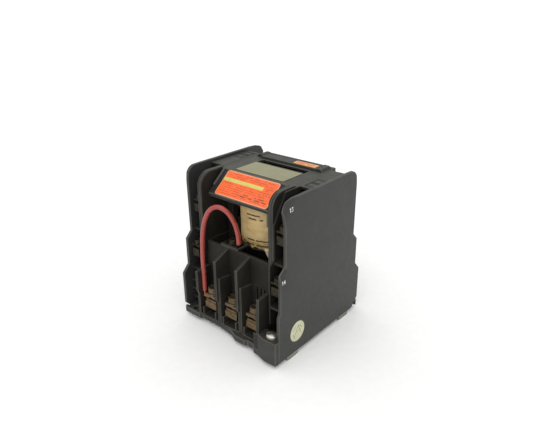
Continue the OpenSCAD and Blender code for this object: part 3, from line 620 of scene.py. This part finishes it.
def make_sticker():
    """A round paper sticker, slightly crowned, with a few faint strokes."""
    low, high = box("round_sticker")
    centre = Vector((low.x, (low.y + high.y) / 2, (low.z + high.z) / 2))
    radius = (high.y - low.y) / 2
    thick = high.x - low.x
    crown = 1.15 * thick
    profile = [(0, 0), (radius, 0), (radius, 0.6 * thick), (0.96 * radius, thick), (0, crown)]
    plan = plan_frame(centre, BACK, UP)
    bm = bmesh.new()
    add_lathe(bm, profile, ORIGIN, 64)
    bmesh.ops.transform(bm, matrix=plan, verts=bm.verts)
    # each stroke's ends, in shares of the radius
    strokes = [((-0.5, -0.5), (0.1, 0.6)), ((0.1, 0.6), (0.55, -0.45)), ((-0.25, -0.1), (0.4, 0.05)),
               ((-0.65, 0.25), (-0.3, 0.6)), ((0.3, 0.5), (0.65, 0.1)), ((-0.6, -0.1), (-0.45, -0.6))]
    stroke_w = 0.3 * MM
    stroke_top = 1.25 * thick
    for start, end in strokes:
        add_bar(bm, plan, Vector(start) * radius, Vector(end) * radius, stroke_w, thick, stroke_top, 1)
    piece = place(finish_mesh(bm, "round_sticker_looks"), "round_sticker_looks", "root", "sticker_paper",
                  ["sticker_paper", "foot_plastic"])
    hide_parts("round_sticker")


# ---------------------------------------------------------------- top

def face_plan(node):
    """The plan frame of a plate's largest upward face, and how far the plate reaches in it."""
    mesh = frame["nodes"][node].data
    face = max((p for p in mesh.polygons if p.normal.z > 0.1), key=lambda p: p.area)
    out = face.normal.normalized()
    plan = plan_frame(ORIGIN, RIGHT, out.cross(RIGHT).normalized())
    to_plan = plan.inverted()
    spots = [to_plan @ v.co for v in mesh.vertices]
    low, high = [Vector([pick(spot[i] for spot in spots) for i in range(3)]) for pick in (min, max)]
    return plan, low, high


def make_rating_label():
    """Pale border, orange field, yellow-green stripe, and rows of marks that say nothing."""
    plan, low, high = face_plan("rating_label")
    edge = 0.55 * MM
    corner = 1.4 * MM
    stripe_corner = 0.3 * MM
    inset = 2 * MM
    margin = 1.2 * MM
    line = 0.32 * MM
    heavy_line = 0.5 * MM
    heavy_low, heavy_high = 2.2 * MM, 5.2 * MM
    width = high.x - low.x
    height = high.y - low.y

    # lowest and highest levels of the border, the field, the stripe, the print and the heavy print
    top = high.z
    border = (low.z, top - 0.06 * MM)
    field = (top - 0.1 * MM, top)
    stripe = (top - 0.02 * MM, top + 0.04 * MM)
    ink = (top - 0.02 * MM, top + 0.03 * MM)
    heavy_ink = (top - 0.02 * MM, top + 0.04 * MM)

    bm = bmesh.new()
    add_prism(bm, plan, round_rect(low.x, low.y, high.x, high.y, corner), *border, 0)
    add_prism(bm, plan, round_rect(low.x + edge, low.y + edge, high.x - edge, high.y - edge, corner - edge),
              *field, 1)
    left, right = low.x + inset, high.x - inset
    stripe_low = (low.x + edge, high.y - 0.42 * height)
    stripe_high = (low.x + 0.77 * width, high.y - 0.29 * height)
    add_prism(bm, plan, round_rect(*stripe_low, *stripe_high, stripe_corner), *stripe, 2)
    above = ((left, stripe_high[1] + 0.4 * MM), (right, high.y - margin))
    beside = ((stripe_high[0] + inset, stripe_low[1]), (right, stripe_high[1]))
    below = ((left, low.y + margin), (right, stripe_low[1] - 0.5 * MM))
    for rows, seed, (start, end) in ((3, 11, above), (2, 12, beside), (6, 13, below)):
        add_dashes(bm, plan, start, end, rows, seed, line, ink, 3)
    add_dashes(bm, plan, (low.x + 0.45 * width, low.y + heavy_low), (right, low.y + heavy_high),
               rows=2, seed=14, height=heavy_line, depth=heavy_ink, material=4, fill=0.6)
    piece = place(finish_mesh(bm, "rating_label_looks"), "rating_label_looks", "root", "label_orange",
                  ["label_border", "label_orange", "label_stripe", "label_print", "print_dark"])
    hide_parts("rating_label")


def make_rail_label():
    """The small pale orange label on the rear rail, with two rows of marks that say nothing."""
    plan, low, high = face_plan("rail_label")
    margin = Vector((1, 0.8)) * MM
    corner = 0.8 * MM
    line = 0.7 * MM
    ink = (high.z - 0.02 * MM, high.z + 0.03 * MM)
    bm = bmesh.new()
    add_prism(bm, plan, round_rect(low.x, low.y, high.x, high.y, corner), low.z, high.z, 0)
    add_dashes(bm, plan, low.xy + margin, high.xy - margin,
               rows=2, seed=21, height=line, depth=ink, material=1, fill=0.8)
    piece = place(finish_mesh(bm, "rail_label_looks"), "rail_label_looks", "root", "label_pale_orange",
                  ["label_pale_orange", "label_print"])
    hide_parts("rail_label")


def make_marker_shade_band():
    """A dark frame round the marker plate: painted shade for the gap between the plate and the cap."""
    low, high = box("marker_plate")
    gap = Vector((0.3, 0.3)) * MM
    line = 0.5 * MM
    depth = (-0.1 * MM, 0.04 * MM)
    plan = plan_frame(UP * box("top_cap")[1].z, RIGHT, BACK)
    bm = bmesh.new()
    add_frame(bm, plan, low.xy - gap, high.xy + gap, line, depth)
    place(finish_mesh(bm, "marker_shade_band"), "marker_shade_band", "root", "housing_plastic", ["housing_plastic"])


def make_label_holder():
    """The raised edges on both sides of the rating label, and the foot under its right end."""
    plan, low, high = face_plan("rating_label")
    edge_x = 24.9 * MM
    edge_w = 1.2 * MM
    foot_end = low.y + 6 * MM
    top_end = high.y + 0.3 * MM
    bm = bmesh.new()
    for x in (-edge_x, edge_x):
        add_bar(bm, plan, (x, foot_end), (x, top_end), edge_w, low.z - 0.3 * MM, high.z + 0.35 * MM)
    round_edges(bm, 0.15 * MM, 2, False)
    # The edges are wholly in the cap's lighter edge plastic, a painted highlight
    place(finish_mesh(bm, "label_holder_edges"), "label_holder_edges", "root", "cap_plastic",
          ["cap_plastic_worn"])

    foot_t = 1.2 * MM
    outline = round_rect(21.4 * MM, 79 * MM, 25.2 * MM, 87.4 * MM, 0.8 * MM)
    front = plan_frame(Vector((0, box("top_cap")[0].y, 0)), RIGHT, UP)
    bm = bmesh.new()
    add_prism(bm, front, outline, -foot_t, 0)
    round_edges(bm, 0.2 * MM, 2, False)
    # The foot too is in the cap's lighter edge plastic, a painted highlight
    place(finish_mesh(bm, "label_holder_foot"), "label_holder_foot", "root", "cap_plastic",
          ["cap_plastic_worn"])


def make_deck_frames():
    """Two raised rectangles on each auxiliary block's deck. On the left deck they lie further back."""
    deck_z = box("right_aux_body")[1].z
    across = (32.5 * MM, 39 * MM)
    lengths = [(-8 * MM, -2.5 * MM), (-1 * MM, 4.5 * MM)]
    line = 0.5 * MM
    depth = (-0.1 * MM, 0.3 * MM)
    bm = bmesh.new()
    for angle, shift in ((0, 0), (math.pi, -13 * MM)):
        plan = Matrix.Rotation(angle, 4, "Z") @ plan_frame(UP * deck_z, RIGHT, BACK)
        for y0, y1 in lengths:
            add_frame(bm, plan, (across[0], y0 + shift), (across[1], y1 + shift), line, depth)
    round_edges(bm, 0.12 * MM, 1, False)
    place(finish_mesh(bm, "deck_frames"), "deck_frames", "root", "housing_plastic", ["cap_plastic"])


def make_cheek_rims():
    """The thicker rim round the front of each inner cheek, on its inner face."""
    low, high = box("right_cheek")
    rim_t = 1.3 * MM
    rim_w = 1.4 * MM
    lap = 0.1 * MM
    foot_z = low.z + 14 * MM
    top_end = low.y + 19 * MM
    corner_r = 9 * MM
    steps = 10

    def line_at(inset):
        """The cheek's front outline, moved in by inset, from its foot up and over to the top."""
        turns = [math.radians(180 - 90 * k / steps) for k in range(steps + 1)]
        centre = Vector((low.y + corner_r, high.z - corner_r))
        radius = corner_r - inset
        arc = [(centre.x + radius * math.cos(a), centre.y + radius * math.sin(a)) for a in turns]
        return [(low.y + inset, foot_z)] + arc + [(top_end, high.z - inset)]

    plan = plan_frame(ORIGIN, BACK, UP)
    sides = [("right", low.x - rim_t, low.x + lap), ("left", -low.x - lap, rim_t - low.x)]
    for name, near, far in sides:
        bm = bmesh.new()
        add_prism(bm, plan, line_at(0) + line_at(rim_w)[::-1], near, far)
        bmesh.ops.recalc_face_normals(bm, faces=bm.faces)
        # The rim's rounded edges take the lighter plastic, a painted highlight
        round_edges(bm, 0.3 * MM, 2, True)
        place(finish_mesh(bm, name + "_cheek_rim"), name + "_cheek_rim", "root", "cheek_plastic",
              ["cheek_plastic", "cheek_plastic_worn"])


# ---------------------------------------------------------------- coil

PAPER_LAYER = 0.28 * MM


def add_wrap(bm, inner, outer, z0, z1, ragged, overlap, seam, rows=12, steps=144):
    """A sheet of paper wound round Z: it swells by a layer where it laps over itself, ripples a little,
    and its lower edge is uneven."""
    turn_end = 2 * math.pi + overlap
    ramp = 0.15
    uneven = 0.1 * MM
    ripple = 0.08 * MM
    # where the noise is sampled: a radius and a height per unit for the ripple, a radius and a level for
    # the tear
    ripple_r, ripple_pitch = 2.3, 4 * MM
    tear_r, tear_level = 9, 3.0

    def ring(radius, z, rough):
        points = []
        for k in range(steps + 1):
            angle = turn_end * k / steps
            lift = min(1.0, max(0.0, (angle - 2 * math.pi + ramp) / ramp)) - 1
            way = seam + angle
            wave = noise.noise(on_round(ripple_r, way, z / ripple_pitch)) * ripple
            tear = rough * noise.noise(on_round(tear_r, angle, tear_level))
            points.append(bm.verts.new(on_round(radius + lift * PAPER_LAYER + wave, way, z + tear)))
        return points

    outer_rings = []
    for i in range(rows + 1):
        share = i / rows
        outer_rings.append(ring(outer, z0 + (z1 - z0) * share, ragged * (1 - share) ** 4 + uneven))
    inner_rings = [ring(inner, z0, ragged + uneven), ring(inner, z1, uneven)]
    loop = outer_rings + inner_rings[::-1]
    for a, b in zip(loop, loop[1:] + loop[:1]):
        for k in range(steps):
            bm.faces.new([a[k], a[k + 1], b[k + 1], b[k]])
    bm.faces.new([r[0] for r in loop])
    bm.faces.new([r[-1] for r in loop[::-1]])


def add_round_marks(bm, radius, z0, z1, angles, rows, seed, height, fill, material=1):
    """Rows of dark marks on a round surface, between two angles in degrees."""
    draw = random.Random(seed)
    under, over = -0.12 * MM, 0.1 * MM
    for row in range(rows):
        z = z1 - (z1 - z0) * (row + 0.5) / rows
        at = angles[0]
        while at < angles[1]:
            length = draw.uniform(0.5, 1.6) * MM
            step = math.degrees(length / radius)
            if draw.random() < fill:
                out = on_round(1, math.radians(at + step / 2), 0)
                plan = plan_frame(out * radius + UP * z, UP.cross(out), UP)
                rise = draw.uniform(-0.15, 0.15) * MM
                start, end = (-length / 2, rise), (length / 2, -rise)
                add_bar(bm, plan, start, end, height, under, over, material)
            at += step + math.degrees(draw.uniform(0.4, 0.8) * MM / radius)


def make_coil():
    """The wrapping paper with its seam and marks, and the collar under it."""
    low, high = box("coil_wrap")
    gap = 0.05 * MM
    inner = box("coil_winding")[1].x + PAPER_LAYER + gap
    bm = bmesh.new()
    add_wrap(bm, inner, high.x, low.z, high.z, ragged=0.25 * MM, overlap=0.5, seam=math.radians(232))
    bmesh.ops.recalc_face_normals(bm, faces=bm.faces)
    skin = high.x - PAPER_LAYER
    add_round_marks(bm, skin, high.z - 8.5 * MM, high.z - 3.5 * MM, (262, 292),
                    rows=2, seed=31, height=0.9 * MM, fill=0.8)
    add_round_marks(bm, skin, low.z + 1.0 * MM, low.z + 2.4 * MM, (240, 330),
                    rows=1, seed=32, height=0.8 * MM, fill=0.75)
    piece = place(finish_mesh(bm, "coil_wrap_looks"), "coil_wrap_looks", "root", "coil_paper",
                  ["coil_paper", "print_dark"])
    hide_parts("coil_wrap")

    low, high = box("coil_collar")
    bm = bmesh.new()
    add_wrap(bm, inner, high.x, low.z + 0.3 * MM, high.z, ragged=1.6 * MM, overlap=0.3,
             seam=math.radians(210), rows=6, steps=192)
    bmesh.ops.recalc_face_normals(bm, faces=bm.faces)
    skin = high.x - PAPER_LAYER
    add_round_marks(bm, skin, low.z + 1.2 * MM, high.z - 0.8 * MM, (245, 330),
                    rows=1, seed=33, height=0.9 * MM, fill=0.8)
    piece = place(finish_mesh(bm, "coil_collar_looks"), "coil_collar_looks", "root", "coil_paper",
                  ["collar_paper", "print_dark"])
    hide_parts("coil_collar")


def make_coil_shadow_line():
    """A thin dark wavy ring round the joint between the wrapping paper and the collar: painted shadow under
    the wrap's lower edge.
    """
    radius = box("coil_collar")[1].x - 0.1 * MM
    level = box("coil_wrap")[0].z
    line_radius = 0.3 * MM
    sway = 0.12 * MM
    steps, sides = 96, 8
    bm = bmesh.new()
    rings = []
    for k in range(steps):
        way = 2 * math.pi * k / steps
        z = level + sway * math.sin(3 * way)
        ring = []
        for j in range(sides):
            a = 2 * math.pi * j / sides
            ring.append(bm.verts.new(on_round(radius + line_radius * math.cos(a), way, z + line_radius * math.sin(a))))
        rings.append(ring)
    for a, b in zip(rings, rings[1:] + rings[:1]):
        for j in range(sides):
            i = (j + 1) % sides
            bm.faces.new([a[j], b[j], b[i], a[i]])
    place(finish_mesh(bm, "coil_shadow_line"), "coil_shadow_line", "root", "coil_paper", ["print_dark"])


def make_torn_tab():
    """A torn strip of paper that hangs down in front of the bobbin's lower flange."""
    low, high = box("coil_collar")
    thick = 0.2 * MM
    gap = 0.1 * MM
    stand_off = 1.3 * MM
    columns = 6
    # height from the collar's lower edge in mm, and the strip's two edges in degrees round the coil
    rows = [(1.0, -62, -42), (0, -61, -42), (-1.6, -59, -42.5), (-3.6, -56, -43), (-5.6, -52, -43.5),
            (-7.6, -47, -44)]
    bm = bmesh.new()
    borders = []
    for depth in (0, thick):
        sheet = []
        for row, (level, start, end) in enumerate(rows):
            r = high.x + (stand_off if row else gap) + depth
            angles = [math.radians(start + (end - start) * k / columns) for k in range(columns + 1)]
            sheet.append([bm.verts.new(on_round(r, a, low.z + level * MM)) for a in angles])
        for a, b in zip(sheet, sheet[1:]):
            for k in range(columns):
                bm.faces.new([a[k], a[k + 1], b[k + 1], b[k]])
        down = [line[-1] for line in sheet[1:]]
        up = [line[0] for line in sheet[-2:0:-1]]
        borders.append(sheet[0] + down + sheet[-1][-2::-1] + up)
    inside, outside = borders
    count = len(inside)
    for k in range(count):
        j = (k + 1) % count
        bm.faces.new([inside[k], inside[j], outside[j], outside[k]])
    bmesh.ops.recalc_face_normals(bm, faces=bm.faces)
    place(finish_mesh(bm, "torn_tab"), "torn_tab", "root", "coil_paper", ["torn_paper"])


# ---------------------------------------------------------------- lug screws

def make_lug_screws():
    """Domed slotted heads on the two tall lugs."""
    low, high = box("lug_screws")
    head_r = 3.7 * MM
    head_h = 2.6 * MM
    shank_r = 1.9 * MM
    slot_w = 0.8 * MM
    slot_t = 1.2 * MM
    slot_turn = math.radians(12)
    seat = high.z - head_h
    rim = seat + 0.35 * head_h
    core_r = head_r - 0.05 * MM
    core_z = seat + 0.1 * MM
    slot_z = high.z - slot_t
    core = [(0, low.z), (shank_r, low.z), (shank_r, core_z), (core_r, core_z), (core_r, slot_z), (0, slot_z)]
    centre = Vector((high.x - head_r, low.y + head_r, 0))
    dome = [(0, seat), (head_r, seat)]
    for degrees in range(0, 90, 10):
        a = math.radians(degrees)
        dome.append((head_r * math.cos(a), rim + (high.z - rim) * math.sin(a)))
    dome.append((0, high.z))
    bm = bmesh.new()
    for foot in (centre, -centre):
        turn = Matrix.Translation(foot) @ Matrix.Rotation(slot_turn, 4, "Z")
        for half in (1, -1):
            part = bmesh.new()
            add_lathe(part, dome, ORIGIN, 64)
            slice_off(part, Vector((0, half * slot_w / 2, 0)), Vector((0, -half, 0)))
            bmesh.ops.transform(part, matrix=turn, verts=part.verts)
            mesh = finish_mesh(part, "half_head")
            bm.from_mesh(mesh)
            bpy.data.meshes.remove(mesh)
        add_lathe(bm, core, foot, 64)
    piece = place(finish_mesh(bm, "lug_screws_looks"), "lug_screws_looks", "root", "screw_nickel",
                  ["screw_nickel"])
    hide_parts("lug_screws")


# ---------------------------------------------------------------- springs

def make_springs():
    """Copies of the springs in spring steel, each riding on its spring's body."""
    # each spring, the joint that shortens it, and the end that is held: 1 is the upper one, 0 the lower
    springs = [("contact_spring_1", "bridge_a_give", 1), ("contact_spring_2", "bridge_b_give", 1),
               ("contact_spring_3", "bridge_c_give", 1), ("return_spring_left", "carrier_travel", 0),
               ("return_spring_right", "carrier_travel", 0)]
    for node, joint, held_end in springs:
        original = frame["nodes"][node]
        mesh = original.data.copy()
        mesh.materials.clear()
        piece = place(mesh, node + "_looks", original["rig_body"], "spring_steel", ["spring_steel"])
        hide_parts(node)
        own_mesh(piece)


# ---------------------------------------------------------------- the object

# How far edges are rounded, in millimetres, and the nodes whose edges are
ROUNDING = [
    (0.4, ["base_plate", "left_rail_clip", "right_rail_clip", "left_cheek", "right_cheek"]),
    (0.3, ["base_feet", "top_cap", "contact_carrier", "armature_pin"]),
    (0.25, ["line_barriers", "load_barriers", "terminal_screws", "rear_rail"]),
    (0.2, ["contact_housing", "partition_plate", "marker_plate", "left_aux_body", "right_aux_body",
           "left_aux_slider", "right_aux_slider", "coil_bobbin", "aux_terminal_screws",
           "coil_terminal_screws", "armature", "fixed_core", "bridge_1", "bridge_2", "bridge_3",
           "core_cushion"]),
    (0.15, ["terminal_saddles", "terminal_washers", "line_contact_1", "line_contact_2", "line_contact_3",
            "load_contact_1", "load_contact_2", "load_contact_3", "left_aux_contacts",
            "right_aux_contacts", "left_aux_bridges", "right_aux_bridges", "coil_terminals"]),
]

make_materials()
make_camera()
make_lead()
make_stage()

for width, names in ROUNDING:
    for name in names:
        rounded_copy(name, width * MM)
make_covers()
make_sticker()
make_rating_label()
make_rail_label()
make_marker_shade_band()
make_label_holder()
make_deck_frames()
make_cheek_rims()
make_coil()
make_coil_shadow_line()
make_torn_tab()
make_lug_screws()
make_springs()

# What is left keeps its CAD mesh and gets its slot's material
for name in ("coil_winding", "shading_rings", "lead_ends"):
    shown = frame["nodes"][name].data
    shown.materials.clear()
    shown.materials.append(MATERIALS[slot_of(name)])

bpy.context.view_layer.update()
